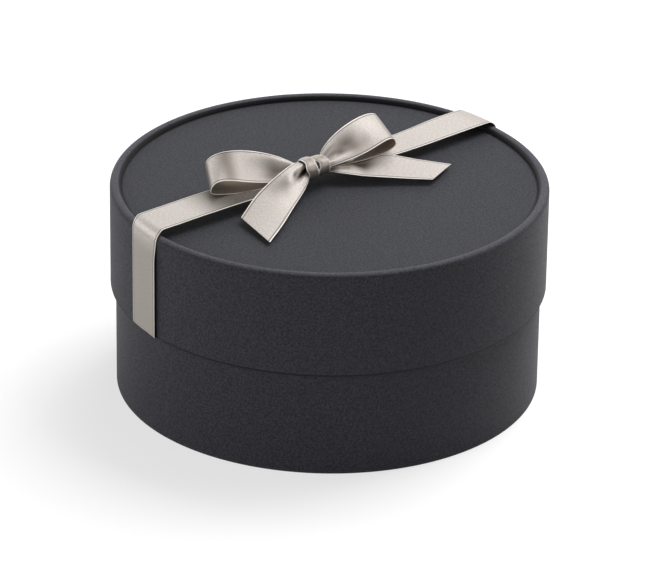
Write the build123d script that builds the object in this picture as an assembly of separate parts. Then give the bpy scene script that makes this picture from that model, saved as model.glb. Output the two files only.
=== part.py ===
from build123d import *
import math
import os

# Round telescoping gift box in wrapped greyboard: a base, a lid with a rolled rim that slides over it,
# a satin ribbon tied over the lid and a bow on the ribbon. Millimetres, +Z up. The origin is on the
# table under the middle of the base, and the ribbon runs along X.

# Board, paper and ribbon stock
board = 2.0
paper = 0.25
ribbon_width = 25.0
ribbon_thickness = 0.3

# Lid
lid_radius = 125.0
rim_height = 124.2
lid_height = 62.2
rim_core_radius = 0.85
lid_turn_in = 18.0
liner_lap = 4.0

# Base
slide_clearance = 0.35
base_turn_in = 15.0

# Ribbon round the lid
band_offset = 10.8
band_bend_radius = 6.5
band_tuck = 12.0

# Bow: its knot stands on the ribbon, and loops and tails leave the knot's two ends
knot_place = -7.3
knot_offset = 4.6
knot_length = 14.4
knot_width = 13.4
knot_height = 10.6
knot_corner = 4.4
knot_wall = 0.7
knot_slit_width = 0.5
root_depth = 2.0

# What follows from the sizes above
lid_board_radius = lid_radius - paper
lid_bore_radius = lid_board_radius - board
rim_board_radius = rim_core_radius + board
rim_radius = rim_board_radius + paper
rim_centre_radius = lid_radius - rim_radius
shoulder_height = rim_height - rim_radius
lid_edge_height = rim_height - lid_height
ceiling_height = shoulder_height - paper - board - paper
lid_clear_radius = lid_bore_radius - paper - max(paper, ribbon_thickness)

base_radius = lid_clear_radius - slide_clearance
base_board_radius = base_radius - paper
base_bore_radius = base_board_radius - board
base_height = ceiling_height
floor_height = paper + board + paper

band_radius = lid_radius + ribbon_thickness
band_top = shoulder_height + band_bend_radius

# How far past its neighbours a cutting block reaches
overrun = ribbon_width

# Loop edges. Each is a teardrop from the knot's end out to a round fold and back, in shares of the ribbon's
# width: the root's place across the knot, the roots' heights above the ribbon for the upper and the lower
# run, the fold's place along from the knot's end, across and above, the arch over and the sag under the
# line to the fold, and how late each of the two swells.
loop_left_near_share = dict(
    root_share=-0.17, upper_share=0.08, lower_share=0.06, fold_share=(2.404, 0.36, 0.168),
    arch_share=0.236, sag_share=0.115, late_share=(3.6, 1.2),
)
loop_left_far_share = dict(
    root_share=0.22, upper_share=0.18, lower_share=0.12, fold_share=(1.832, 1.23, 0.392),
    arch_share=0.392, sag_share=0.28, late_share=(0.75, 1.0),
)
loop_right_near_share = dict(
    root_share=-0.16, upper_share=0.16, lower_share=0.13, fold_share=(1.948, -0.176, 0.224),
    arch_share=0.176, sag_share=0.14, late_share=(4.4, 1.4),
)
loop_right_far_share = dict(
    root_share=0.21, upper_share=0.22, lower_share=0.16, fold_share=(2.176, 0.788, 0.464),
    arch_share=0.41, sag_share=0.32, late_share=(0.42, 1.0),
)

# Tail edges. Each is a smooth curve: places along from the knot's end, across and above, in the same shares.
tail_left_far_share = (
    (0, 0.165, 0.35), (0.33, 0.075, 0.40), (0.63, 0.01, 0.35), (1.15, -0.09, 0.20), (1.61, -0.24, 0.07),
    (2.32, -0.63, -0.10),
)
tail_left_near_share = (
    (0, -0.205, 0.12), (0.39, -0.50, 0), (1.08, -0.94, -0.12), (1.78, -1.44, -0.16), (2.51, -1.93, -0.17),
)
tail_right_near_share = (
    (0, -0.14, 0.052), (0.25, -0.42, 0.03), (0.56, -0.66, -0.02), (1.36, -1.23, -0.10), (1.87, -1.61, -0.13),
)
tail_right_far_share = (
    (0, 0.14, 0.06), (0.75, 0.13, 0.035), (1.66, -0.18, 0.02), (2.22, -0.68, -0.06), (2.81, -1.15, -0.17),
)

# How high a gathered run arches across its width where it leaves the knot
loop_upper_gather_share = 0.13
loop_lower_gather_share = 0.03
tail_left_gather_share = 0.13
tail_right_gather_share = 0.03
gather_fade_power = 4.0
least_arch_share = 0.004

# The knot's swell along each of its two wraps: places along the wrap and sizes across it
wrap_place_share = (0.0, 0.12, 0.5, 0.88, 1.0)
wrap_swell_share = (0.93, 0.985, 1.0, 0.985, 0.93)
first_wrap_share = 0.54

loop_station_count = 29
tail_station_count = 13


def turned(section):
    """Turn a section drawn in radius and height about the upright axis."""
    return revolve(Plane.XZ * section, Axis.Z)


def tube(inner, outer, bottom, top):
    """A plain tube, or a disc where the inner radius is 0."""
    middle = Pos((inner + outer) / 2, (bottom + top) / 2)
    return turned(middle * Rectangle(outer - inner, top - bottom))


def outline(*points):
    """The face inside straight lines through points of radius and height."""
    return make_face(Polyline(*points, close=True))


def rim_arc(radius, start, sweep):
    """An arc about the core of the lid's rolled rim."""
    return CenterArc((rim_centre_radius, shoulder_height), radius, start, sweep)


# Lid
def lid_tube():
    """The lid's wall, rolled inward and down at its top into the rim."""
    low = lid_edge_height + paper
    lip_outer = rim_centre_radius - rim_board_radius
    lip_inner = rim_centre_radius - rim_core_radius
    edges = [
        Line((lid_bore_radius, low), (lid_board_radius, low)),
        Line((lid_board_radius, low), (lid_board_radius, shoulder_height)),
        rim_arc(rim_board_radius, 0, 180),
        Line((lip_outer, shoulder_height), (lip_inner, shoulder_height)),
        rim_arc(rim_core_radius, 180, -180),
        Line((lid_bore_radius, shoulder_height), (lid_bore_radius, low)),
    ]
    return turned(make_face(edges))


def lid_wrap():
    """The lid's outer paper, over the rolled rim, down the wall and turned in at the lower edge."""
    low = lid_edge_height
    turned_top = low + lid_turn_in
    inside = lid_bore_radius - paper
    lip_outer = rim_centre_radius - rim_radius
    lip_inner = rim_centre_radius - rim_board_radius
    edges = [
        rim_arc(rim_radius, 180, -180),
        Line((lid_radius, shoulder_height), (lid_radius, low)),
        Line((lid_radius, low), (inside, low)),
        Line((inside, low), (inside, turned_top)),
        Line((inside, turned_top), (lid_bore_radius, turned_top)),
        Line((lid_bore_radius, turned_top), (lid_bore_radius, low + paper)),
        Line((lid_bore_radius, low + paper), (lid_board_radius, low + paper)),
        Line((lid_board_radius, low + paper), (lid_board_radius, shoulder_height)),
        rim_arc(rim_board_radius, 0, 180),
        Line((lip_inner, shoulder_height), (lip_outer, shoulder_height)),
    ]
    return turned(make_face(edges))


def lid_liner():
    """The lid's inner paper, which laps over the turned-in edge of the outer paper."""
    step = lid_edge_height + lid_turn_in
    start = step - liner_lap
    inside = lid_bore_radius - paper
    lapped = inside - paper
    return turned(outline(
        (inside, start), (inside, step), (lid_bore_radius, step), (lid_bore_radius, ceiling_height),
        (inside, ceiling_height), (inside, step + paper), (lapped, step + paper), (lapped, start),
    ))


def lid_top_paper():
    """The paper disc on the lid's top, held down at its edge by the rolled rim."""
    return tube(0, lid_bore_radius, shoulder_height - paper, shoulder_height)


def lid_top_board():
    """The board disc pressed up under the rolled rim."""
    return tube(0, lid_bore_radius, ceiling_height + paper, ceiling_height + paper + board)


def lid_ceiling_paper():
    """The paper disc on the underside of the lid's board."""
    return tube(0, lid_bore_radius, ceiling_height, ceiling_height + paper)


# Base
def base_tube():
    """The base's wall."""
    return tube(base_bore_radius, base_board_radius, paper, base_height - paper)


def base_wrap():
    """The base's outer paper, turned in over the upper edge and under the lower one."""
    inside = base_bore_radius - paper
    upper = base_height - base_turn_in
    return turned(outline(
        (inside, 0), (base_radius, 0), (base_radius, base_height), (inside, base_height),
        (inside, upper), (base_bore_radius, upper), (base_bore_radius, base_height - paper),
        (base_board_radius, base_height - paper), (base_board_radius, paper), (base_bore_radius, paper),
        (base_bore_radius, base_turn_in), (inside, base_turn_in),
    ))


def base_liner():
    """The base's inner paper, which laps over both turned-in edges of the outer paper."""
    inside = base_bore_radius - paper
    lapped = inside - paper
    upper = base_height - base_turn_in
    return turned(outline(
        (inside, floor_height), (inside, base_turn_in), (base_bore_radius, base_turn_in),
        (base_bore_radius, upper), (inside, upper), (inside, upper + liner_lap),
        (lapped, upper + liner_lap), (lapped, upper - paper), (inside, upper - paper),
        (inside, base_turn_in + paper), (lapped, base_turn_in + paper), (lapped, floor_height),
    ))


def base_bottom_paper():
    """The paper disc on the underside of the base, which the box stands on."""
    return tube(0, base_bore_radius - paper, 0, paper)


def base_bottom_board():
    """The base's board disc, pressed in between the turned-in edge."""
    return tube(0, base_bore_radius - paper, paper, paper + board)


def base_floor_paper():
    """The paper disc on the base's floor."""
    return tube(0, base_bore_radius - paper, floor_height - paper, floor_height)


# Ribbon round the lid
def ribbon_band():
    """One length of ribbon: over the lid, down both sides and tucked up inside the lower edge."""
    tuck_outer = lid_bore_radius - paper
    tuck_inner = tuck_outer - ribbon_thickness
    tuck_top = lid_edge_height + band_tuck
    low = lid_edge_height - ribbon_thickness
    under_radius = band_bend_radius - ribbon_thickness
    centre = (band_radius - band_bend_radius, shoulder_height)
    edges = [
        Line((0, band_top), (centre[0], band_top)),
        CenterArc(centre, band_bend_radius, 90, -90),
        Line((band_radius, shoulder_height), (band_radius, low)),
        Line((band_radius, low), (tuck_inner, low)),
        Line((tuck_inner, low), (tuck_inner, tuck_top)),
        Line((tuck_inner, tuck_top), (tuck_outer, tuck_top)),
        Line((tuck_outer, tuck_top), (tuck_outer, lid_edge_height)),
        Line((tuck_outer, lid_edge_height), (lid_radius, lid_edge_height)),
        Line((lid_radius, lid_edge_height), (lid_radius, shoulder_height)),
        CenterArc(centre, under_radius, 0, 90),
        Line((centre[0], shoulder_height + under_radius), (0, shoulder_height + under_radius)),
        Line((0, shoulder_height + under_radius), (0, band_top)),
    ]
    across = Box(2 * (band_radius + overrun), ribbon_width, 2 * (band_top + overrun))
    return turned(make_face(edges)) & Pos(0, band_offset, 0) * across


# Bow
def place(side, along, across, above):
    """A point of the bow, in shares of the ribbon's width: along outward from the knot's end on that side."""
    return Vector(
        knot_place + side * (knot_length / 2 + along * ribbon_width),
        knot_offset + across * ribbon_width,
        band_top + above * ribbon_width,
    )


def teardrop(shares, side, turn):
    """A point of a loop's edge: turn runs from 0 at the upper root to 1 at the lower root."""
    out = math.sin(math.pi * turn) ** 2
    upper = turn <= 0.5
    late = shares["late_share"][0 if upper else 1]
    peak = late / (late + 0.5)
    most = peak ** late * math.sqrt(1 - peak)
    swell = out ** late * math.sqrt(1 - out) / most
    rise = shares["arch_share"] * swell if upper else -shares["sag_share"] * swell
    root_above = shares["upper_share"] if upper else shares["lower_share"]
    fold_along, fold_across, fold_above = shares["fold_share"]
    return place(
        side,
        fold_along * out,
        shares["root_share"] + (fold_across - shares["root_share"]) * out,
        root_above * (1 - out) + fold_above * out + rise,
    )


def ribbon_section(near, far, facing, arch):
    """The thin cross-section of a ribbon between its two edges, arched towards the way it faces."""
    middle = (near + far) / 2 + facing * arch
    back = facing * -ribbon_thickness
    outer = Edge.make_three_point_arc(near, middle, far)
    inner = outer.moved(Location(back))
    return Wire([outer, Edge.make_line(far, far + back), inner, Edge.make_line(near + back, near)])


def ribbon_run(near, far, arches, outward):
    """Loft a ribbon through its stations. outward is 1 where the first station faces up, else -1."""
    count = len(near)
    sections = []
    for i in range(count):
        before, after = max(i - 1, 0), min(i + 1, count - 1)
        along = (near[after] + far[after]) - (near[before] + far[before])
        facing = (far[i] - near[i]).cross(along).normalized() * outward
        sections.append(ribbon_section(near[i], far[i], facing, arches[i]))
    return Solid.make_loft(sections, True)


def bow_loop(near_share, far_share, side):
    """A loop of the bow: a ribbon from the knot out to a round fold and back under itself."""
    turns = [i / (loop_station_count - 1) for i in range(loop_station_count)]
    inward = Vector(-side * root_depth, 0, 0)
    near = [teardrop(near_share, side, turn) for turn in turns]
    far = [teardrop(far_share, side, turn) for turn in turns]
    near = [near[0] + inward] + near + [near[-1] + inward]
    far = [far[0] + inward] + far + [far[-1] + inward]
    arches = []
    for turn in turns:
        fade = math.cos(math.pi * turn) ** (2 * gather_fade_power)
        upper = (least_arch_share + loop_upper_gather_share * fade) * ribbon_width
        lower = -(least_arch_share + loop_lower_gather_share * fade) * ribbon_width
        arches.append(upper if turn <= 0.5 else lower)
    arches = [arches[0]] + arches + [arches[-1]]
    return ribbon_run(near, far, arches, -side)


def smooth_points(shares, side, count):
    """Points evenly spaced along a smooth curve through the places of a tail's edge."""
    curve = Edge.make_spline([place(side, *share) for share in shares])
    return [curve.position_at(i / (count - 1)) for i in range(count)]


def bow_tail(near_share, far_share, gather_share, side):
    """A tail of the bow: a ribbon from the knot to a slanted cut end."""
    inward = Vector(-side * root_depth, 0, 0)
    near = smooth_points(near_share, side, tail_station_count)
    far = smooth_points(far_share, side, tail_station_count)
    arches = []
    for i in range(tail_station_count):
        fade = (1 - i / (tail_station_count - 1)) ** gather_fade_power
        arches.append((least_arch_share + gather_share * fade) * ribbon_width)
    return ribbon_run([near[0] + inward] + near, [far[0] + inward] + far, [arches[0]] + arches, -side)


def knot_wrap(start, length):
    """One turn of ribbon round the knot, a little fuller at its middle."""
    sections = []
    for place_share, swell_share in zip(wrap_place_share, wrap_swell_share):
        shape = RectangleRounded(
            knot_width * swell_share, knot_height * swell_share, knot_corner * swell_share
        )
        spot = Plane(
            origin=(knot_place + start + place_share * length, knot_offset, band_top + knot_height / 2),
            x_dir=(0, 1, 0), z_dir=(1, 0, 0),
        )
        sections.append(spot * shape)
    return loft(sections)


def knot_core(inset):
    """A straight run through the knot, set in from its outside all round."""
    start = Plane(
        origin=(knot_place - knot_length / 2, knot_offset, band_top + knot_height / 2),
        x_dir=(0, 1, 0), z_dir=(1, 0, 0),
    )
    shape = RectangleRounded(knot_width - 2 * inset, knot_height - 2 * inset, knot_corner - inset)
    return extrude(start * shape, knot_length)


def bow_knot():
    """The knot: two turns of ribbon side by side with a slit between, open at both ends."""
    first = knot_length * first_wrap_share - knot_slit_width / 2
    second = knot_length - first - knot_slit_width
    begin = -knot_length / 2
    wraps = knot_wrap(begin, first) + knot_wrap(begin + first + knot_slit_width, second)
    knot = wraps + knot_core(knot_wall / 2) - knot_core(knot_wall)
    above = Pos(knot_place, knot_offset, band_top + overrun / 2) * Box(overrun, overrun, overrun)
    return knot & above


NODES = {
    "base_tube": base_tube,
    "base_wrap": base_wrap,
    "base_liner": base_liner,
    "base_bottom_board": base_bottom_board,
    "base_bottom_paper": base_bottom_paper,
    "base_floor_paper": base_floor_paper,
    "lid_tube": lid_tube,
    "lid_wrap": lid_wrap,
    "lid_liner": lid_liner,
    "lid_top_board": lid_top_board,
    "lid_top_paper": lid_top_paper,
    "lid_ceiling_paper": lid_ceiling_paper,
    "ribbon_band": ribbon_band,
    "bow_loop_left": lambda: bow_loop(loop_left_near_share, loop_left_far_share, -1),
    "bow_loop_right": lambda: bow_loop(loop_right_near_share, loop_right_far_share, 1),
    "bow_tail_left": lambda: bow_tail(tail_left_near_share, tail_left_far_share, tail_left_gather_share, -1),
    "bow_tail_right": lambda: bow_tail(
        tail_right_near_share, tail_right_far_share, tail_right_gather_share, 1
    ),
    "bow_knot": bow_knot,
}

os.makedirs("parts", exist_ok=True)
for name, make in NODES.items():
    export_step(make(), f"parts/{name}.step")
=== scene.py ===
"""Looks of the round gift box: charcoal wrapped board, with a satin ribbon and a bow on the lid.

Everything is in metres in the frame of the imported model. The ribbon runs along X, and the box stands on
z = 0.
"""

import logging
import math
from abc import ABC, abstractmethod
from dataclasses import dataclass, field, replace
from enum import Enum
from typing import Iterable, Sequence

import bpy
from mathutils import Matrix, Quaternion, Vector


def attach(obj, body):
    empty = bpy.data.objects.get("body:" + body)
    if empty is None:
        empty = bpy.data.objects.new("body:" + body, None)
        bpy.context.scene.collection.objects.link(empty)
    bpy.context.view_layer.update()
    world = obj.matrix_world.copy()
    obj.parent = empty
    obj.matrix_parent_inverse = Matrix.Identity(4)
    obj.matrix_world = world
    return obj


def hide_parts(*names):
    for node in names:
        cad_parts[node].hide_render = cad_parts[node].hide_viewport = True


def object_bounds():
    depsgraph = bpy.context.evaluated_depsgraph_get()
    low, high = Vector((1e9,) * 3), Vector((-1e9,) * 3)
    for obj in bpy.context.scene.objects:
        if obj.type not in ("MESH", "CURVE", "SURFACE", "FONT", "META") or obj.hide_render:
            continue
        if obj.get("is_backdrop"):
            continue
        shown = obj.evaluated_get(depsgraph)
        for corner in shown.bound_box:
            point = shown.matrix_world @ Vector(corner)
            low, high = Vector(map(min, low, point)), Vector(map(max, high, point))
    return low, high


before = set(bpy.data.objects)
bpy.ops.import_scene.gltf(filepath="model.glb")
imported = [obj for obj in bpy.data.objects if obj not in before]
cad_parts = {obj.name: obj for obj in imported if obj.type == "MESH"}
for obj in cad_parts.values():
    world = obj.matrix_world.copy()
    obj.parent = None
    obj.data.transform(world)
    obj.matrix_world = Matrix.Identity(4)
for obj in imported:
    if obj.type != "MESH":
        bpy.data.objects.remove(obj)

LOG = logging.getLogger("gift_box")
RIBBON_UV = "ribbon"
WEAR_AND_HIGHLIGHT_ATTRIBUTE = "edge_wear_and_highlight"
PAINTED_SHADE_ATTRIBUTE = "painted_shade"
GROOVE_SHADE_ATTRIBUTE = "groove"
TURN = 2 * math.pi
BEYOND_THE_BOX = 10.0
EDGE_RING_STEP = 0.0005
SOFT_EDGE_STEPS = 6
TURN_IN_STEPS = 4
ROLL_STEPS = 28

Socket = bpy.types.NodeSocket
Value = float | Socket
Colour = tuple[float, float, float]
Ring = tuple[float, float]
Span = tuple[float, float]
Place = tuple[float, float, float]


class Body(Enum):
    """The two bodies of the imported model."""

    BASE = "base"
    LID = "lid"


class Slot(Enum):
    """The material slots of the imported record."""

    PAPER = "charcoal_paper"
    BOARD = "greyboard"
    RIBBON = "satin_ribbon"


class End(Enum):
    """The two ends of the knot that ribbon leaves from, with the way each points along X."""

    LEFT = -1
    RIGHT = 1


@dataclass(frozen=True)
class RibbonStock:
    """The satin ribbon as it comes off the reel."""

    width: float = 0.025
    thickness: float = 0.0003


@dataclass(frozen=True)
class BoxSizes:
    """The box's stock and main sizes, as in the CAD source."""

    board: float = 0.002
    paper: float = 0.00025
    lid_radius: float = 0.125
    rim_height: float = 0.1242
    lid_height: float = 0.0622
    rim_core: float = 0.00085
    lid_turn_in: float = 0.018
    slide_clearance: float = 0.00035
    base_turn_in: float = 0.015
    edge_softness: float = 0.0006

    @property
    def lid_bore(self) -> float:
        """Inner radius of the lid's board wall."""
        return self.lid_radius - self.paper - self.board

    @property
    def rim_radius(self) -> float:
        """Radius of the rolled rim, paper included."""
        return self.rim_core + self.board + self.paper

    @property
    def rim_centre(self) -> float:
        """Distance from the axis to the middle of the rolled rim."""
        return self.lid_radius - self.rim_radius

    @property
    def rim_inner(self) -> float:
        """Distance from the axis to the rolled rim's inner side."""
        return self.rim_centre - self.rim_radius

    @property
    def shoulder(self) -> float:
        """Height of the lid's top paper."""
        return self.rim_height - self.rim_radius

    @property
    def lid_edge(self) -> float:
        """Height of the lid's lower edge."""
        return self.rim_height - self.lid_height

    @property
    def base_height(self) -> float:
        """Height of the base's upper edge, which meets the lid's ceiling."""
        return self.shoulder - self.paper - self.board - self.paper

    @property
    def base_radius(self) -> float:
        """Outer radius of the wrapped base."""
        return self.lid_bore - self.paper - RibbonStock().thickness - self.slide_clearance

    @property
    def base_bore(self) -> float:
        """Inner radius of the base's board wall."""
        return self.base_radius - self.paper - self.board


# Small helpers for modelling


def select_only(piece: bpy.types.Object) -> None:
    """Select one object and make it active.

    Args:
        piece: The object to work on.
    """
    bpy.ops.object.select_all(action="DESELECT")
    piece.select_set(True)
    bpy.context.view_layer.objects.active = piece


def apply_modifiers(piece: bpy.types.Object) -> None:
    """Apply every modifier of a piece, in order.

    Args:
        piece: The object whose modifiers are made part of its mesh.
    """
    select_only(piece)
    for modifier in list(piece.modifiers):
        bpy.ops.object.modifier_apply(modifier=modifier.name)


def settle(piece: bpy.types.Object, sharp_degrees: float = 180.0) -> None:
    """Put a finished piece's place in its mesh and shade it smooth.

    Args:
        piece: The finished object.
        sharp_degrees: Edges sharper than this stay sharp.
    """
    select_only(piece)
    bpy.ops.object.transform_apply(location=True, rotation=True, scale=True)
    bpy.ops.object.shade_smooth_by_angle(angle=math.radians(sharp_degrees))


def smooth_step(low: float, high: float, value: float) -> float:
    """Ease from 0 at low to 1 at high.

    Args:
        low: Where the step starts.
        high: Where the step ends.
        value: The value to place on the step.

    Returns:
        The eased share, from 0 to 1.
    """
    share = min(1.0, max(0.0, (value - low) / (high - low)))
    return share * share * (3 - 2 * share)


def bell(value: float, middle: float, spread: float) -> float:
    """Fall off from 1 at the middle to both sides.

    Args:
        value: The value to place on the curve.
        middle: Where the curve is highest.
        spread: How wide the curve is.

    Returns:
        The share, from 0 to 1.
    """
    return math.exp(-(((value - middle) / spread) ** 2))


def arc_rings(centre: Ring, radius: float, start: float, end: float, steps: int) -> list[Ring]:
    """Rings along an arc in the plane of radius and height.

    Args:
        centre: Radius and height of the arc's middle.
        radius: The arc's radius.
        start: First angle in degrees, 0 pointing away from the axis.
        end: Last angle in degrees.
        steps: How many parts the arc has.

    Returns:
        Pairs of radius and height.
    """
    rings = []
    for i in range(steps + 1):
        angle = math.radians(start + (end - start) * i / steps)
        rings.append((centre[0] + radius * math.cos(angle), centre[1] + radius * math.sin(angle)))
    return rings


def line_rings(start: Ring, end: Ring, steps: int) -> list[Ring]:
    """Rings along a straight line, without its two ends.

    Args:
        start: Radius and height at the start.
        end: Radius and height at the end.
        steps: How many parts the line has.

    Returns:
        Pairs of radius and height between the ends.
    """
    rings = []
    for i in range(1, steps):
        share = i / steps
        rings.append((start[0] + (end[0] - start[0]) * share, start[1] + (end[1] - start[1]) * share))
    return rings


def wall_rings(start: Ring, end: Ring, steps: int) -> list[Ring]:
    """Rings along a wall, with two close ones at each end so that what marks the edge stays on it.

    Args:
        start: Radius and height at the start.
        end: Radius and height at the end.
        steps: How many parts lie between the close rings.

    Returns:
        Pairs of radius and height between the ends.
    """
    radius = start[0]
    step = math.copysign(EDGE_RING_STEP, end[1] - start[1])
    first = (radius, start[1] + 2 * step)
    last = (radius, end[1] - 2 * step)
    middle = line_rings(first, last, steps)
    return [(radius, start[1] + step), first, *middle, last, (radius, end[1] - step)]


def opaque(colour: Colour, share: float = 1.0) -> tuple[float, float, float, float]:
    """A colour for a socket, made darker or lighter.

    Args:
        colour: The colour.
        share: What each of its parts is multiplied by.

    Returns:
        Red, green, blue and full opacity.
    """
    return (*(share * part for part in colour), 1.0)


# Shader graphs


class Graph:
    """A node tree with short calls to add, set and join nodes."""

    def __init__(self, tree: bpy.types.NodeTree) -> None:
        """Hold the tree and empty it.

        Args:
            tree: The node tree to build in.
        """
        self.tree = tree
        tree.nodes.clear()

    def add(self, kind: str, inputs: dict | None = None, **settings: object) -> bpy.types.Node:
        """Add a node.

        Args:
            kind: The node's type.
            inputs: Values or sockets for its inputs, by name or number.
            **settings: Properties to set on the node first.

        Returns:
            The new node.
        """
        node = self.tree.nodes.new(kind)
        for name, value in settings.items():
            setattr(node, name, value)
        for name, value in (inputs or {}).items():
            if isinstance(value, Socket):
                self.tree.links.new(value, node.inputs[name])
            else:
                node.inputs[name].default_value = value
        return node

    def math(self, operation: str, *values: Value) -> Socket:
        """Add a Math node.

        Args:
            operation: The node's operation.
            *values: Its inputs, as numbers or sockets.

        Returns:
            The result's socket.
        """
        return self.add("ShaderNodeMath", dict(enumerate(values)), operation=operation).outputs[0]

    def dot(self, first: Socket, second: Place) -> Socket:
        """Add a dot product.

        Args:
            first: A vector's socket.
            second: A vector.

        Returns:
            The product's socket.
        """
        node = self.add("ShaderNodeVectorMath", {0: first, 1: second}, operation="DOT_PRODUCT")
        return node.outputs["Value"]

    def step(self, value: Socket, low: float, high: float) -> Socket:
        """Ease a value from 0 at low to 1 at high.

        Args:
            value: The value's socket.
            low: Where the step starts.
            high: Where the step ends.

        Returns:
            The eased value's socket.
        """
        inputs = {"Value": value, "From Min": low, "From Max": high}
        node = self.add("ShaderNodeMapRange", inputs, interpolation_type="SMOOTHSTEP")
        return node.outputs["Result"]

    def mix(self, factor: Socket, first: tuple | Socket, second: tuple | Socket) -> Socket:
        """Mix two colours.

        Args:
            factor: The share of the second colour.
            first: A colour or a socket.
            second: A colour or a socket.

        Returns:
            The mixed colour's socket.
        """
        node = self.add("ShaderNodeMix", {0: factor, 6: first, 7: second}, data_type="RGBA")
        return node.outputs[2]

    def noise(
        self, vector: Socket, scale: Value, detail: float, roughness: float, distortion: float = 0.0
    ) -> Socket:
        """Add a Noise node.

        Args:
            vector: The coordinates' socket.
            scale: Features per metre.
            detail: How many finer layers it has.
            roughness: How strong the finer layers are.
            distortion: How much the pattern is stirred.

        Returns:
            The noise value's socket.
        """
        inputs = {
            "Vector": vector, "Scale": scale, "Detail": detail, "Roughness": roughness,
            "Distortion": distortion,
        }
        return self.add("ShaderNodeTexNoise", inputs).outputs[0]


def new_group(name: str, inputs: dict[str, float], outputs: Iterable[str]) -> Graph:
    """Start a shader node group.

    Args:
        name: The group's name.
        inputs: Its float inputs and their defaults.
        outputs: Its float outputs.

    Returns:
        A graph that holds the group's tree.
    """
    tree = bpy.data.node_groups.new(name, "ShaderNodeTree")
    for label, default in inputs.items():
        socket = tree.interface.new_socket(label, in_out="INPUT", socket_type="NodeSocketFloat")
        socket.default_value = default
    for label in outputs:
        tree.interface.new_socket(label, in_out="OUTPUT", socket_type="NodeSocketFloat")
    return Graph(tree)


def place_group(
    graph: Graph, tree: bpy.types.NodeTree, **inputs: float
) -> bpy.types.bpy_prop_collection:
    """Place a node group in a material.

    Args:
        graph: The material's graph.
        tree: The group's tree.
        **inputs: Values for its inputs, with spaces as underscores.

    Returns:
        The placed group's outputs.
    """
    node = graph.add("ShaderNodeGroup", node_tree=tree)
    for name, value in inputs.items():
        node.inputs[name.replace("_", " ")].default_value = value
    return node.outputs


@dataclass(frozen=True)
class SatinWeave:
    """Satin weave with a pale selvedge and a thin line beside it, in the ribbon's own metres."""

    threads_per_metre: float = 3300.0
    picks_per_metre: float = 1150.0
    floats_per_metre: float = 1500.0
    float_slant: float = 0.38
    float_height: float = 0.22
    middle_height: float = 0.5
    streaks_per_metre: float = 1500.0
    streak_stretch: float = 0.4
    streak_height: float = 0.35
    selvedge: Span = (0.0005, 0.0009)
    selvedge_height: float = 0.5
    line: float = 0.00125
    line_fade: Span = (0.0002, 0.00066)
    line_break: float = 0.3
    line_depth: float = 0.6

    def make(self) -> bpy.types.NodeTree:
        """Build the node group.

        Returns:
            The group's tree.
        """
        graph = new_group(
            "ribbon_weave",
            {"Threads per metre": self.threads_per_metre, "Width": RibbonStock().width},
            ("Height", "Streak", "Selvedge", "Line"),
        )
        given = graph.add("NodeGroupInput").outputs
        laid = graph.add("ShaderNodeUVMap", uv_map=RIBBON_UV).outputs[0]
        parts = graph.add("ShaderNodeSeparateXYZ", {0: laid}).outputs
        across, along = parts["X"], parts["Y"]
        edge = graph.math("MINIMUM", across, graph.math("SUBTRACT", given["Width"], across))
        selvedge = graph.math("SUBTRACT", 1.0, graph.step(edge, *self.selvedge))
        off_line = graph.math("ABSOLUTE", graph.math("SUBTRACT", edge, self.line))
        line = graph.math("SUBTRACT", 1.0, graph.step(off_line, *self.line_fade))
        picks = graph.math("SINE", graph.math("MULTIPLY", along, TURN * self.picks_per_metre))
        broken = graph.math("MULTIPLY_ADD", picks, self.line_break, 1 - self.line_break)
        line = graph.math("MULTIPLY", line, broken)
        threads = graph.math("MULTIPLY", across, graph.math("MULTIPLY", given["Threads per metre"], TURN))
        warp = graph.math("SINE", threads)
        slanted = graph.math("MULTIPLY", threads, self.float_slant)
        weft = graph.math("SINE", graph.math("MULTIPLY_ADD", along, TURN * self.floats_per_metre, slanted))
        stretch = (1.0, self.streak_stretch, 1.0)
        stretched = graph.add("ShaderNodeMapping", {"Vector": laid, "Scale": stretch}).outputs[0]
        streak = graph.noise(stretched, self.streaks_per_metre, detail=3.0, roughness=0.7)
        crossed = graph.math("MULTIPLY", warp, weft)
        woven = graph.math("MULTIPLY_ADD", crossed, self.float_height, self.middle_height)
        height = graph.math("MULTIPLY_ADD", streak, self.streak_height, woven)
        height = graph.math("MULTIPLY_ADD", selvedge, self.selvedge_height, height)
        height = graph.math("MULTIPLY_ADD", line, -self.line_depth, height)
        made = {"Height": height, "Streak": streak, "Selvedge": selvedge, "Line": line}
        graph.add("NodeGroupOutput", made)
        return graph.tree


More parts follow.
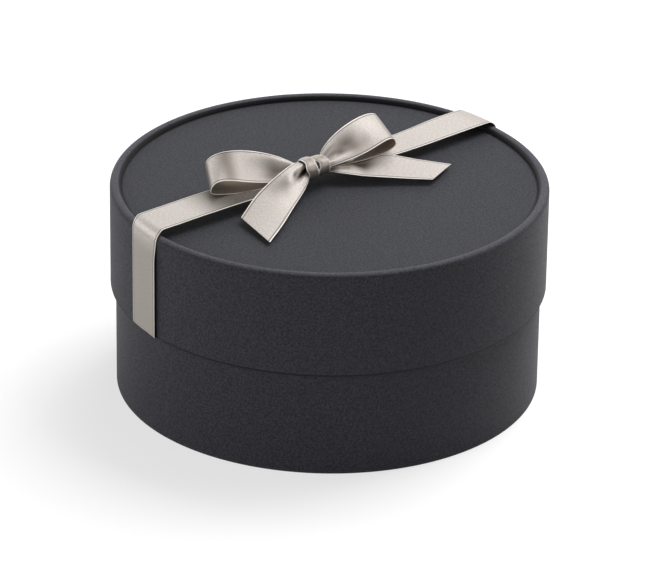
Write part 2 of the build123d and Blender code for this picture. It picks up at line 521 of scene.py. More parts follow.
class Effects:
    """The node groups that several materials share, each built once."""

    def __init__(self) -> None:
        """Build every group."""
        self.fibre = self.paper_fibre()
        self.weave = SatinWeave().make()
        self.wear_and_highlight = self.edge_wear_and_highlight()
        self.groove = self.rim_groove_shade()

    @staticmethod
    def paper_fibre() -> bpy.types.NodeTree:
        """Felted fibres of uncoated paper: a soft mottle, a fine grain and sparse pale flecks.

        Returns:
            The group's tree.
        """
        inputs = {"Mottle per metre": 950.0, "Grain per metre": 2400.0}
        mottle_height, grain_height = 0.55, 0.45
        graph = new_group("paper_fibre", inputs, ("Mottle", "Height", "Fleck"))
        given = graph.add("NodeGroupInput").outputs
        place = graph.add("ShaderNodeTexCoord").outputs["Object"]
        mottle = graph.noise(place, given["Mottle per metre"], detail=3.0, roughness=0.62, distortion=0.6)
        grain = graph.noise(place, given["Grain per metre"], detail=3.0, roughness=0.6, distortion=1.6)
        fleck = graph.noise(place, given["Grain per metre"], detail=1.0, roughness=0.5, distortion=0.4)
        grained = graph.math("MULTIPLY", grain, grain_height)
        height = graph.math("MULTIPLY_ADD", mottle, mottle_height, grained)
        made = {
            "Mottle": graph.step(mottle, low=0.3, high=0.7),
            "Height": height,
            "Fleck": graph.step(fleck, low=0.66, high=0.76),
        }
        graph.add("NodeGroupOutput", made)
        return graph.tree

    @staticmethod
    def edge_wear_and_highlight() -> bpy.types.NodeTree:
        """Rubbed edges and a painted highlight along them: the piece's own attribute, broken up by noise.

        Returns:
            The group's tree.
        """
        graph = new_group("edge_wear_and_highlight", {"Patches per metre": 800.0, "Amount": 1.0}, ("Mask",))
        given = graph.add("NodeGroupInput").outputs
        worn_and_lit = graph.add("ShaderNodeAttribute", attribute_name=WEAR_AND_HIGHLIGHT_ATTRIBUTE).outputs["Fac"]
        place = graph.add("ShaderNodeTexCoord").outputs["Object"]
        patches = graph.noise(
            place, given["Patches per metre"], detail=4.0, roughness=0.65, distortion=0.8
        )
        patches = graph.step(patches, low=0.2, high=0.75)
        mask = graph.math("MULTIPLY", graph.math("MULTIPLY", worn_and_lit, patches), given["Amount"])
        graph.add("NodeGroupOutput", {"Mask": mask})
        return graph.tree

    @staticmethod
    def rim_groove_shade() -> bpy.types.NodeTree:
        """Painted shade in the line where the top paper goes under the rolled rim, on the rim and on the
        paper.

        Returns:
            The group's tree.
        """
        graph = new_group("rim_groove_shade", {"Radius": BEYOND_THE_BOX, "Reach": 0.0018}, ("Mask",))
        given = graph.add("NodeGroupInput").outputs
        marked_shade = graph.add("ShaderNodeAttribute", attribute_name=GROOVE_SHADE_ATTRIBUTE).outputs["Fac"]
        coordinates = graph.add("ShaderNodeTexCoord").outputs["Object"]
        place = graph.add("ShaderNodeSeparateXYZ", {0: coordinates}).outputs
        across = graph.math("MULTIPLY", place["X"], place["X"])
        radius = graph.math("SQRT", graph.math("MULTIPLY_ADD", place["Y"], place["Y"], across))
        short = graph.math("DIVIDE", graph.math("SUBTRACT", given["Radius"], radius), given["Reach"])
        ring_shade = graph.math("SUBTRACT", 1.0, graph.step(short, low=0.3, high=1.0))
        graph.add("NodeGroupOutput", {"Mask": graph.math("MAXIMUM", marked_shade, ring_shade)})
        return graph.tree


@dataclass(frozen=True)
class PaperFinish:
    """Uncoated dyed paper or board with felted fibres."""

    name: str
    colour: Colour
    pale: Colour
    fleck: float = 0.25
    roughness: float = 0.62
    sheen: float = 0.25
    bump: float = 0.35
    wear_and_highlight: float = 0.0
    grain: float = 1900.0
    # Radius inside which shade is painted along the rim's groove; beyond the box paints none.
    groove: float = BEYOND_THE_BOX
    dark_share: float = 0.52
    light_share: float = 1.6
    line_shade_share: float = 0.08
    gloss_spread: float = 0.12
    bump_distance: float = 0.00035
    sheen_roughness: float = 0.5
    specular: float = 0.3

    def make(self, effects: Effects) -> bpy.types.Material:
        """Build the material.

        Args:
            effects: The shared node groups.

        Returns:
            The material.
        """
        material = bpy.data.materials.new(self.name)
        material.use_nodes = True
        graph = Graph(material.node_tree)
        fibre = place_group(graph, effects.fibre, Grain_per_metre=self.grain)
        worn_and_lit = place_group(graph, effects.wear_and_highlight, Amount=self.wear_and_highlight)
        line_shade = place_group(graph, effects.groove, Radius=self.groove)
        dark = opaque(self.colour, self.dark_share)
        light = opaque(self.colour, self.light_share)
        tone = graph.mix(fibre["Mottle"], dark, light)
        flecked = graph.math("MULTIPLY", fibre["Fleck"], self.fleck)
        tone = graph.mix(flecked, tone, opaque(self.pale))
        # Wear and painted highlight: the shells' top and bottom edges, the rim's crown among them, go
        # paler.
        tone = graph.mix(worn_and_lit["Mask"], tone, opaque(self.pale))
        # Painted shade: dark in the rim's groove and along the lid's lower hem.
        tone = graph.mix(line_shade["Mask"], tone, opaque(self.colour, self.line_shade_share))
        dullest = self.roughness + self.gloss_spread / 2
        rough = graph.math("MULTIPLY_ADD", fibre["Mottle"], -self.gloss_spread, dullest)
        relief = {"Strength": self.bump, "Distance": self.bump_distance, "Height": fibre["Height"]}
        bump = graph.add("ShaderNodeBump", relief)
        inputs = {
            "Base Color": tone, "Roughness": rough, "Normal": bump.outputs[0], "Sheen Weight": self.sheen,
            "Sheen Roughness": self.sheen_roughness, "Specular IOR Level": self.specular,
        }
        shader = graph.add("ShaderNodeBsdfPrincipled", inputs)
        graph.add("ShaderNodeOutputMaterial", {"Surface": shader.outputs[0]})
        return material


@dataclass(frozen=True)
class SatinFinish:
    """Woven satin ribbon: glossy floats on the face, a duller back, and browner painted shade where marked.
    """

    name: str
    colour: Colour
    selvedge: Colour
    line: Colour
    # The colour of the painted shade.
    painted_shade: Colour = (0.075, 0.051, 0.031)
    metallic: float = 0.45
    roughness: float = 0.31
    anisotropy: float = 0.25
    specular: float = 0.8
    sheen: float = 0.05
    bump: float = 0.3
    dark_share: float = 0.80
    light_share: float = 1.14
    shade_streaks: float = 0.9
    shade_evenly: float = 0.55
    selvedge_dulling: float = 0.18
    shade_dulling: float = 0.12
    shade_metal: float = 0.45
    bump_distance: float = 0.0001
    sheen_roughness: float = 0.4

    def make(self, effects: Effects) -> bpy.types.Material:
        """Build the material.

        Args:
            effects: The shared node groups.

        Returns:
            The material.
        """
        material = bpy.data.materials.new(self.name)
        material.use_nodes = True
        graph = Graph(material.node_tree)
        weave = place_group(graph, effects.weave)
        dark = opaque(self.colour, self.dark_share)
        light = opaque(self.colour, self.light_share)
        # Painted shade: the piece's shade attribute, broken up by the weave's streaks, browns and darkens
        # the satin and changes its roughness and metallic there.
        shade_mask = graph.add("ShaderNodeAttribute", attribute_name=PAINTED_SHADE_ATTRIBUTE).outputs["Fac"]
        streaked = graph.math("MULTIPLY_ADD", weave["Streak"], self.shade_streaks, self.shade_evenly)
        shade_mask = graph.math("MINIMUM", graph.math("MULTIPLY", shade_mask, streaked), 1.0)
        tone = graph.mix(graph.step(weave["Streak"], low=0.3, high=0.7), dark, light)
        tone = graph.mix(shade_mask, tone, opaque(self.painted_shade))
        tone = graph.mix(weave["Selvedge"], tone, opaque(self.selvedge))
        tone = graph.mix(weave["Line"], tone, opaque(self.line))
        rough = graph.math("MULTIPLY_ADD", weave["Selvedge"], self.selvedge_dulling, self.roughness)
        rough = graph.math("MULTIPLY_ADD", shade_mask, self.shade_dulling, rough)
        metallic = graph.math("MULTIPLY_ADD", shade_mask, self.shade_metal, self.metallic)
        relief = {"Strength": self.bump, "Distance": self.bump_distance, "Height": weave["Height"]}
        bump = graph.add("ShaderNodeBump", relief)
        tangent = graph.add("ShaderNodeTangent", direction_type="UV_MAP", uv_map=RIBBON_UV)
        inputs = {
            "Base Color": tone, "Roughness": rough, "Normal": bump.outputs[0],
            "Tangent": tangent.outputs[0], "Anisotropic": self.anisotropy,
            "Specular IOR Level": self.specular, "Sheen Weight": self.sheen,
            "Sheen Roughness": self.sheen_roughness, "Metallic": metallic,
        }
        shader = graph.add("ShaderNodeBsdfPrincipled", inputs)
        graph.add("ShaderNodeOutputMaterial", {"Surface": shader.outputs[0]})
        return material


class Finishes:
    """Every finish on the box."""

    def __init__(self) -> None:
        """Make the shared effects and the materials."""
        effects = Effects()
        # The wrap's colour is a lighter, bluer copy of the top paper's: painted light on the walls.
        wrap = PaperFinish(
            "charcoal_wrap", (0.0238, 0.0230, 0.0307), (0.10, 0.101, 0.113), wear_and_highlight=0.55, sheen=0.06
        )
        self.wrap = wrap.make(effects)
        self.top = replace(
            wrap, name="charcoal_top", colour=(0.0216, 0.0223, 0.0274), groove=BoxSizes().rim_inner
        ).make(effects)
        self.lining = PaperFinish(
            "charcoal_lining", (0.017, 0.017, 0.0195), (0.07, 0.07, 0.078), fleck=0.18, roughness=0.7,
            sheen=0.1,
        ).make(effects)
        self.board = PaperFinish(
            "recycled_board", (0.27, 0.25, 0.225), (0.45, 0.43, 0.40), fleck=0.6, roughness=0.85,
            sheen=0.1, bump=0.6, grain=1500.0,
        ).make(effects)
        self.satin = SatinFinish(
            "satin_face", (0.58, 0.531, 0.492), (0.88, 0.84, 0.80), (0.10, 0.078, 0.06)
        ).make(effects)
        # The knot's satin is a darker copy of the face's colour, painted shade on the knot, with a paler
        # selvedge that paints a highlight along the knot's edges.
        self.satin_knot_shaded = SatinFinish(
            "satin_knot_painted_shade", (0.47, 0.415, 0.37), (0.95, 0.92, 0.88), (0.38, 0.33, 0.29),
            roughness=0.33, metallic=0.35,
        ).make(effects)
        # The back is duller than the face, and its darker, browner colour is painted shade for the insides
        # of the loops.
        self.satin_back = SatinFinish(
            "satin_back", (0.29, 0.228, 0.168), (0.50, 0.43, 0.36), (0.15, 0.115, 0.085),
            roughness=0.6, anisotropy=0.2, specular=0.25, metallic=0.0,
        ).make(effects)


# Paper shells of revolution


@dataclass
class PaperShell:
    """Paper wrapped round a wall, walked ring by ring, with a lap seam down its back."""

    name: str
    rings: Sequence[Ring]
    thickness: float
    segments: int = 192
    seam_degrees: float = 62.0
    lap: float = 0.012
    lap_height: float = 0.00016
    lap_step: float = 0.94
    # Radii, and heights from the lower edge, where shade is painted: in the rim's groove and on the hem.
    groove: Span | None = None
    hem_shade: Span = (0.0011, 0.0016)
    rubbed_and_lit: Span = (0.0002, 0.0014)
    sharp_degrees: float = 38.0

    def build(self) -> bpy.types.Object:
        """Extrude a circle through the rings, press in the seam and give the paper its thickness.

        Returns:
            The finished shell, with its attribute of rubbed edges and painted highlight.
        """
        radius, height = self.rings[0]
        bpy.ops.mesh.primitive_circle_add(
            vertices=self.segments, radius=radius, location=(0, 0, height), fill_type="NOTHING"
        )
        piece = bpy.context.object
        piece.name = self.name
        bpy.ops.object.mode_set(mode="EDIT")
        bpy.ops.mesh.select_all(action="SELECT")
        for next_radius, next_height in self.rings[1:]:
            bpy.ops.mesh.extrude_edges_move(
                TRANSFORM_OT_translate={"value": (0, 0, next_height - height)}
            )
            share = next_radius / radius
            bpy.ops.transform.resize(value=(share, share, 1), center_override=(0, 0, next_height))
            radius, height = next_radius, next_height
        bpy.ops.mesh.select_all(action="SELECT")
        bpy.ops.mesh.normals_make_consistent(inside=False)
        bpy.ops.object.mode_set(mode="OBJECT")
        bpy.ops.object.transform_apply(location=True, rotation=True, scale=True)
        self.face_outwards(piece)
        self.press_seam(piece)
        self.mark_wear_and_highlight(piece)
        if self.groove:
            self.mark_groove_shade(piece)
        solid = piece.modifiers.new("paper", "SOLIDIFY")
        solid.thickness = self.thickness
        solid.offset = -1.0
        apply_modifiers(piece)
        settle(piece, self.sharp_degrees)
        return piece

    @staticmethod
    def face_outwards(piece: bpy.types.Object) -> None:
        """Turn the faces round if the widest one points at the axis.

        Args:
            piece: The shell.
        """
        widest = max(piece.data.polygons, key=lambda face: face.center.xy.length)
        if widest.normal.xy.dot(widest.center.xy) < 0:
            bpy.ops.object.mode_set(mode="EDIT")
            bpy.ops.mesh.select_all(action="SELECT")
            bpy.ops.mesh.flip_normals()
            bpy.ops.object.mode_set(mode="OBJECT")

    def press_seam(self, piece: bpy.types.Object) -> None:
        """Raise the lap of the wrap along one segment edge, with a sharp step on one side.

        Args:
            piece: The shell.
        """
        spacing = TURN / self.segments
        column = round(math.radians(self.seam_degrees) / spacing)
        for vertex in piece.data.vertices:
            radius = vertex.co.xy.length
            angle = math.atan2(vertex.co.y, vertex.co.x)
            columns_on = round((angle / spacing - column) % self.segments)
            if columns_on == 0:
                angle += self.lap_step * spacing
            onto_lap = columns_on * spacing * radius
            if 0 < onto_lap <= self.lap and radius > self.rings[0][0] + self.thickness:
                radius += self.lap_height * (1 - onto_lap / (2 * self.lap))
            vertex.co.x, vertex.co.y = radius * math.cos(angle), radius * math.sin(angle)

    def mark_wear_and_highlight(self, piece: bpy.types.Object) -> None:
        """Note how close each point is to the shell's upper or lower edge, where wear and a painted
        highlight go.

        Args:
            piece: The shell.
        """
        heights = [height for _, height in self.rings]
        low, high = min(heights), max(heights)
        worn_and_lit = piece.data.attributes.new(WEAR_AND_HIGHLIGHT_ATTRIBUTE, "FLOAT", "POINT")
        values = []
        for vertex in piece.data.vertices:
            off = min(vertex.co.z - low, high - vertex.co.z)
            values.append(1 - smooth_step(*self.rubbed_and_lit, off))
        worn_and_lit.data.foreach_set("value", values)

    def mark_groove_shade(self, piece: bpy.types.Object) -> None:
        """Note where shade is painted: in the rim's groove and on the lower hem.

        Args:
            piece: The shell.
        """
        low = min(height for _, height in self.rings)
        line_shade = piece.data.attributes.new(GROOVE_SHADE_ATTRIBUTE, "FLOAT", "POINT")
        values = []
        for vertex in piece.data.vertices:
            inner = 1 - smooth_step(*self.groove, vertex.co.xy.length)
            under = 1 - smooth_step(*self.hem_shade, vertex.co.z - low)
            values.append(max(inner, under))
        line_shade.data.foreach_set("value", values)


@dataclass
class Base:
    """The base that stands on the table."""

    sizes: BoxSizes
    finishes: Finishes
    wall_steps: int = 24

    def wrap_rings(self) -> list[Ring]:
        """The way the base's outer paper goes, from its upper turned-in edge to its lower one.

        Returns:
            Pairs of radius and height.
        """
        s = self.sizes
        inner = s.base_bore - s.paper
        soft = s.edge_softness
        top = s.base_height - soft
        start = (inner, s.base_height - s.base_turn_in)
        upper = arc_rings((inner + soft, top), soft, 180, 90, SOFT_EDGE_STEPS)
        outer = arc_rings((s.base_radius - soft, top), soft, 90, 0, SOFT_EDGE_STEPS)
        lower = arc_rings((s.base_radius - soft, soft), soft, 0, -90, SOFT_EDGE_STEPS)
        under = arc_rings((inner + soft, soft), soft, -90, -180, SOFT_EDGE_STEPS)
        end = (inner, s.base_turn_in)
        turned_in = line_rings(start, upper[0], TURN_IN_STEPS)
        wall = wall_rings(outer[-1], lower[0], self.wall_steps)
        return [start, *turned_in, *upper, *outer, *wall, *lower, *under, end]

    def build(self) -> None:
        """Make the outer paper and dress the base's CAD nodes."""
        wrap = PaperShell("base_outer_paper", self.wrap_rings(), self.sizes.paper).build()
        wrap.data.materials.append(self.finishes.wrap)
        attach(wrap, Body.BASE.value)
        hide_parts("base_wrap")
        LOG.info("base outer paper: %d faces", len(wrap.data.polygons))
        dress("base_tube", self.finishes.board)
        dress("base_bottom_board", self.finishes.board)
        dress("base_liner", self.finishes.lining)
        dress("base_floor_paper", self.finishes.lining)
        dress("base_bottom_paper", self.finishes.wrap)


@dataclass
class Lid:
    """The lid with its rolled rim."""

    sizes: BoxSizes
    finishes: Finishes
    wall_steps: int = 20
    groove_shade_reach: Span = (0.0006, 0.0018)

    def wrap_rings(self) -> list[Ring]:
        """The way the lid's outer paper goes, from its turned-in edge up over the rim.

        Returns:
            Pairs of radius and height.
        """
        s = self.sizes
        inner = s.lid_bore - s.paper
        soft = s.edge_softness
        start = (inner, s.lid_edge + s.lid_turn_in)
        turned = arc_rings((inner + soft, s.lid_edge + soft), soft, 180, 270, SOFT_EDGE_STEPS)
        lower = arc_rings((s.lid_radius - soft, s.lid_edge + soft), soft, 270, 360, SOFT_EDGE_STEPS)
        rim = arc_rings((s.rim_centre, s.shoulder), s.rim_radius, 0, 180, ROLL_STEPS)
        tuck = (s.rim_inner + s.paper, s.shoulder - s.paper)
        turned_in = line_rings(start, turned[0], TURN_IN_STEPS)
        wall = wall_rings(lower[-1], rim[0], self.wall_steps)
        return [start, *turned_in, *turned, *lower, *wall, *rim, tuck]

    def build(self) -> None:
        """Make the outer paper and dress the lid's CAD nodes."""
        # Painted shade goes in the rim's groove and on the hem.
        inner = self.sizes.rim_inner
        groove = (inner + self.groove_shade_reach[0], inner + self.groove_shade_reach[1])
        wrap = PaperShell("lid_outer_paper", self.wrap_rings(), self.sizes.paper, groove=groove).build()
        wrap.data.materials.append(self.finishes.wrap)
        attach(wrap, Body.LID.value)
        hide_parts("lid_wrap")
        LOG.info("lid outer paper: %d faces", len(wrap.data.polygons))
        dress("lid_tube", self.finishes.board)
        dress("lid_top_board", self.finishes.board)
        dress("lid_liner", self.finishes.lining)
        dress("lid_ceiling_paper", self.finishes.lining)
        dress("lid_top_paper", self.finishes.top)


def dress(node: str, material: bpy.types.Material) -> None:
    """Give a carried-over CAD node its finish.

    Args:
        node: The CAD node's name.
        material: Its material.
    """
    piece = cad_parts[node]
    piece.data.materials.clear()
    piece.data.materials.append(material)
    LOG.info("dressed %s", node)


# Ribbon


@dataclass(frozen=True)
class Fold:
    """A ridge or crease that fans out from where a ribbon is gathered."""

    place: float
    drift: float
    width: float
    depth: float
    reach: float
    root: float = 0.001
    widening: float = 1.2

    def rise(self, across: float, out: float) -> float:
        """How far the fold lifts the ribbon at a point.

        Args:
            across: Share of the ribbon's width.
            out: Share of the way out from the knot.

        Returns:
            The rise in metres.
        """
        if out >= self.reach:
            return 0.0
        fade = (1 - out / self.reach) ** 2 * smooth_step(-self.root, self.root, out)
        spread = self.width * (1 + self.widening * out)
        return self.depth * fade * bell(across, self.place + self.drift * out, spread)


@dataclass(frozen=True)
class Dimple:
    """A soft bump or hollow at one place of a ribbon."""

    place: float
    middle: float
    width: float
    length: float
    depth: float

    def rise(self, across: float, out: float) -> float:
        """How far the dimple lifts the ribbon at a point.

        Args:
            across: Share of the ribbon's width.
            out: Share of the way out from the knot.

        Returns:
            The rise in metres.
        """
        off = ((across - self.place) / self.width) ** 2 + ((out - self.middle) / self.length) ** 2
        return self.depth * math.exp(-off)


@dataclass(frozen=True)
class PaintedShade:
    """A soft patch of painted shade on the satin, browner and duller."""

    place: float
    middle: float
    width: float
    length: float
    amount: float
    lean: float = 0.0

    def strength(self, across: float, out: float) -> float:
        """How much shade is painted at a point.

        Args:
            across: Share of the ribbon's width.
            out: Share of the way out from the knot, or the angle round the knot.

        Returns:
            The strength.
        """
        centre = self.place + self.lean * (out - self.middle)
        off = ((across - centre) / self.width) ** 2 + ((out - self.middle) / self.length) ** 2
        return self.amount * math.exp(-off)


Mark = Fold | Dimple | PaintedShade


@dataclass(frozen=True)
class Station:
    """One cross-section of a ribbon: its two edges, the way it faces, its arch and how far out it is."""

    near: Vector
    far: Vector
    facing: Vector
    arch: float
    out: float
    laid_near: float
    laid_far: float


def face_stations(
    near: Sequence[Vector],
    far: Sequence[Vector],
    arches: Sequence[float],
    outs: Sequence[float],
    outward: int,
) -> list[Station]:
    """Work out the way a ribbon faces at each cross-section and how far along it is laid.

    Args:
        near: The near edge's points.
        far: The far edge's points.
        arches: The arch at each cross-section.
        outs: The share of the way out from the knot.
        outward: 1 where the first cross-section faces up, else -1.

    Returns:
        The stations in order.
    """
    stations = []
    laid_near = laid_far = 0.0
    last = len(near) - 1
    for i in range(last + 1):
        before, after = max(i - 1, 0), min(i + 1, last)
        along = (near[after] + far[after]) - (near[before] + far[before])
        facing = (far[i] - near[i]).cross(along).normalized() * outward
        if i:
            laid_near += (near[i] - near[i - 1]).length
            laid_far += (far[i] - far[i - 1]).length
        stations.append(Station(near[i], far[i], facing, arches[i], outs[i], laid_near, laid_far))
    return stations


class RibbonSurface(ABC):
    """The shape of a length of ribbon, read at shares across and along it, each from 0 to 1."""

    @abstractmethod
    def point(self, across: float, along: float) -> Vector:
        """A point of the ribbon's middle surface.

        Args:
            across: Share of the ribbon's width.
            along: Share of its length.

        Returns:
            The point in metres.
        """

    @abstractmethod
    def laid(self, across: float, along: float) -> tuple[float, float]:
        """The same point on the flat ribbon.

        Args:
            across: Share of the ribbon's width.
            along: Share of its length.

        Returns:
            Metres across and along the flat ribbon.
        """

    @abstractmethod
    def painted_shade(self, across: float, along: float) -> float:
        """How much shade is painted on the satin at the same point.

        Args:
            across: Share of the ribbon's width.
            along: Share of its length.

        Returns:
            The strength, 0 where no shade is painted.
        """


@dataclass
class RibbonPiece:
    """A length of ribbon as a grid that is bent over its surface, then given its thickness."""

    name: str
    surface: RibbonSurface
    across: int
    along: int
    face: bpy.types.Material
    back: bpy.types.Material
    back_outside: bool = False
    thickness: float = RibbonStock().thickness

    def build(self) -> bpy.types.Object:
        """Bend a flat grid into shape, lay its UVs in metres and finish it.

        Returns:
            The finished piece.
        """
        bpy.ops.mesh.primitive_grid_add(x_subdivisions=self.across, y_subdivisions=self.along, size=1)
        piece = bpy.context.object
        piece.name = self.name
        shares = [(vertex.co.x + 0.5, vertex.co.y + 0.5) for vertex in piece.data.vertices]
        flat = piece.data.uv_layers[0]
        flat.name = RIBBON_UV
        for loop in piece.data.loops:
            flat.data[loop.index].uv = self.surface.laid(*shares[loop.vertex_index])
        for vertex, share in zip(piece.data.vertices, shares):
            vertex.co = self.surface.point(*share)
        # Painted shade: each point gets the strength of the shade that the satin's material paints there.
        shade_mask = piece.data.attributes.new(PAINTED_SHADE_ATTRIBUTE, "FLOAT", "POINT")
        shade_mask.data.foreach_set("value", [self.surface.painted_shade(*share) for share in shares])
        piece.data.update()
        piece.data.materials.append(self.back if self.back_outside else self.face)
        piece.data.materials.append(self.face if self.back_outside else self.back)
        solid = piece.modifiers.new("thickness", "SOLIDIFY")
        solid.thickness = self.thickness
        solid.offset = 0.0
        solid.material_offset = 1
        soft = piece.modifiers.new("soft", "SUBSURF")
        soft.levels = 1
        soft.render_levels = 1
        apply_modifiers(piece)
        settle(piece)
        return piece


class StationSurface(RibbonSurface):
    """A ribbon laid through cross-sections, with folds, dimples and patches of painted shade on it."""

    def __init__(self, stations: Sequence[Station], marks: Sequence[Mark]) -> None:
        """Sort the marks into those that lift the ribbon and those that paint shade on it.

        Args:
            stations: The ribbon's cross-sections.
            marks: What is on the ribbon.
        """
        self.stations = stations
        self.last = len(stations) - 1
        self.rises = [mark for mark in marks if not isinstance(mark, PaintedShade)]
        self.patches = [mark for mark in marks if isinstance(mark, PaintedShade)]
        self.width = RibbonStock().width

    def between(self, along: float) -> tuple[Station, Station, float]:
        """Find the stations on both sides of a place.

        Args:
            along: Share of the ribbon's length.

        Returns:
            The two stations, and the share of the way from the first to the second.
        """
        index = min(int(along * self.last), self.last - 1)
        return self.stations[index], self.stations[index + 1], along * self.last - index

    def at(self, station: Station, across: float) -> Vector:
        """A point of one cross-section.

        Args:
            station: The cross-section.
            across: Share of the ribbon's width.

        Returns:
            The point in metres.
        """
        rise = station.arch * 4 * across * (1 - across)
        rise += sum(mark.rise(across, station.out) for mark in self.rises)
        return station.near.lerp(station.far, across) + station.facing * rise

    def point(self, across: float, along: float) -> Vector:
        """A point of the ribbon's middle surface.

        Args:
            across: Share of the ribbon's width.
            along: Share of its length.

        Returns:
            The point in metres.
        """
        first, second, share = self.between(along)
        return self.at(first, across).lerp(self.at(second, across), share)

    def laid(self, across: float, along: float) -> tuple[float, float]:
        """The same point on the flat ribbon.

        Args:
            across: Share of the ribbon's width.
            along: Share of its length.

        Returns:
            Metres across and along the flat ribbon.
        """
        first, second, share = self.between(along)
        near = first.laid_near + (second.laid_near - first.laid_near) * share
        far = first.laid_far + (second.laid_far - first.laid_far) * share
        return across * self.width, near + (far - near) * across

    def painted_shade(self, across: float, along: float) -> float:
        """How much shade is painted on the satin at the same point.

        Args:
            across: Share of the ribbon's width.
            along: Share of its length.

        Returns:
            The strength, from 0 to 1.
        """
        first, second, share = self.between(along)
        out = first.out + (second.out - first.out) * share
        return min(1.0, max(0.0, sum(patch.strength(across, out) for patch in self.patches)))


@dataclass
class RibbonBand(RibbonSurface):
    """The ribbon over the lid, down both sides and tucked up inside the lower edge.

    Spans are places along X where something starts and ends. Those of what hangs are heights from the lid's
    top paper. Names with shade are strengths of the painted shade.
    """

    sizes: BoxSizes
    finishes: Finishes
    offset: float = 0.0108
    bend: float = 0.0065
    tuck: float = 0.012
    drift: float = 0.0022
    drift_span: Span = (0.06, 0.12)
    spring: float = 0.0007
    spring_span: Span = (0.02, 0.124)
    flat_span: Span = (0.119, 0.108)
    strip_shift: float = 0.0013
    strip_lift: float = 0.0015
    strip_span: Span = (0.118, 0.124)
    strip_hang: Span = (0.004, -0.012)
    pinch: float = 0.0052
    pinch_place: float = -0.0073
    pinch_reach: float = 0.013
    far_gather: float = 0.0030
    far_gather_end: Span = (0.102, 0.05)
    far_gather_start: Span = (-0.02, 0.02)
    cup: float = 0.00012
    ripple: float = 0.00008
    long_wave: Span = (47.0, 1.3)
    short_wave: Span = (130.0, 3.1)
    under_loop: Span = (-0.096, -0.062)
    under_knot: Span = (-0.030, -0.045)
    turning_span: Span = (0.108, 0.119)
    shaded_hang: Span = (0.004, -0.01)
    hanging_shade: float = 0.40
    gathered_shade: float = 0.6
    leaned_shade: float = 0.92
    turning_shade: float = 0.12
    across_steps: int = 16
    tuck_steps: int = 5
    fold_steps: int = 12
    side_steps: int = 24
    bend_steps: int = 16
    flat_steps: int = 90
    stock: RibbonStock = RibbonStock()
    path: list[tuple[float, float, float, int]] = field(init=False)
    lengths: list[float] = field(init=False)

    def __post_init__(self) -> None:
        """Walk the whole way once."""
        self.path = self.whole_path()
        self.lengths = self.walk()

    @property
    def top(self) -> float:
        """Height of the ribbon's upper face between the rims."""
        return self.sizes.shoulder + self.bend

    def half_path(self) -> list[Ring]:
        """The ribbon's middle line from its tucked end to the top of the bend.

        Returns:
            Pairs of radius and height.
        """
        s = self.sizes
        half = self.stock.thickness / 2
        inner = s.lid_bore - s.paper - half
        outer = s.lid_radius + half
        turn = (outer - inner) / 2
        centre = (outer - turn, s.lid_edge + turn - self.stock.thickness / 2)
        start = (inner, s.lid_edge + self.tuck)
        under = arc_rings(centre, turn, 180, 360, self.fold_steps)
        bend_centre = (s.lid_radius + self.stock.thickness - self.bend, s.shoulder)
        over = arc_rings(bend_centre, self.bend - half, 0, 90, self.bend_steps)
        tucked = line_rings(start, under[0], self.tuck_steps)
        side = line_rings(under[-1], over[0], self.side_steps)
        return [start, *tucked, *under, *side, *over]

    def whole_path(self) -> list[tuple[float, float, float, int]]:
        """The ribbon's middle line from one tucked end to the other.

        Returns:
            Radius, height, share of the radius and side for each step.
        """
        half = self.half_path()
        path = [(radius, height, 1.0, End.LEFT.value) for radius, height in half]
        for i in range(1, self.flat_steps):
            share = 1 - 2 * i / self.flat_steps
            side = End.LEFT.value if share >= 0 else End.RIGHT.value
            path.append((half[-1][0], half[-1][1], abs(share), side))
        path += [(radius, height, 1.0, End.RIGHT.value) for radius, height in reversed(half)]
        return path

    def walk(self) -> list[float]:
        """Measure the ribbon along its middle line.

        Returns:
            The length laid at each step, in metres.
        """
        places = [Vector((side * share * radius, height)) for radius, height, share, side in self.path]
        lengths = [0.0]
        for before, after in zip(places, places[1:]):
            lengths.append(lengths[-1] + (after - before).length)
        return lengths

    def step(self, along: float) -> int:
        """The number of the step at a share of the ribbon's length."""
        return round(along * (len(self.path) - 1))

    def hung(self, height: float, span: Span) -> float:
        """How far down the side a height is.

        Args:
            height: The height.
            span: Where hanging starts and is complete, from the lid's top paper.

        Returns:
            The share, from 0 to 1.
        """
        shoulder = self.sizes.shoulder
        return smooth_step(shoulder + span[0], shoulder + span[1], height)

    def point(self, across: float, along: float) -> Vector:
        """A point of the ribbon's middle surface.

        Args:
            across: Share of the ribbon's width.
            along: Share of its length.

        Returns:
            The point in metres.
        """
        radius, height, share, side = self.path[self.step(along)]
        y = self.offset + (across - 0.5) * self.stock.width
        x = side * share * math.sqrt(radius * radius - y * y)
        y += self.drift * smooth_step(*self.drift_span, x)
        y += self.pinch * (1 - across) ** 2 * bell(x, self.pinch_place, self.pinch_reach)
        gathered = self.far_gather * across ** 2 * smooth_step(*self.far_gather_end, x)
        y -= gathered * smooth_step(*self.far_gather_start, x)
        on_strip = smooth_step(*self.strip_span, -x)
        y -= self.strip_shift * on_strip
        if radius > self.sizes.lid_radius:
            hung = self.hung(height, self.strip_hang)
            x -= self.strip_lift * on_strip * hung * (1 - across) ** 3
        lift = 0.0
        if height > self.sizes.shoulder:
            cup = self.cup * (1 - (2 * across - 1) ** 2)
            short = math.sin(x * self.short_wave[0] + across * self.short_wave[1])
            ripple = self.ripple * short * math.sin(x * self.long_wave[0] + self.long_wave[1])
            spring = self.spring * math.sin(math.pi * smooth_step(*self.spring_span, -x))
            lift = cup + ripple + spring
        return Vector((x, y, height + lift * smooth_step(*self.flat_span, abs(x))))

    def laid(self, across: float, along: float) -> tuple[float, float]:
        """The same point on the flat ribbon, in metres."""
        return across * self.stock.width, self.lengths[self.step(along)]

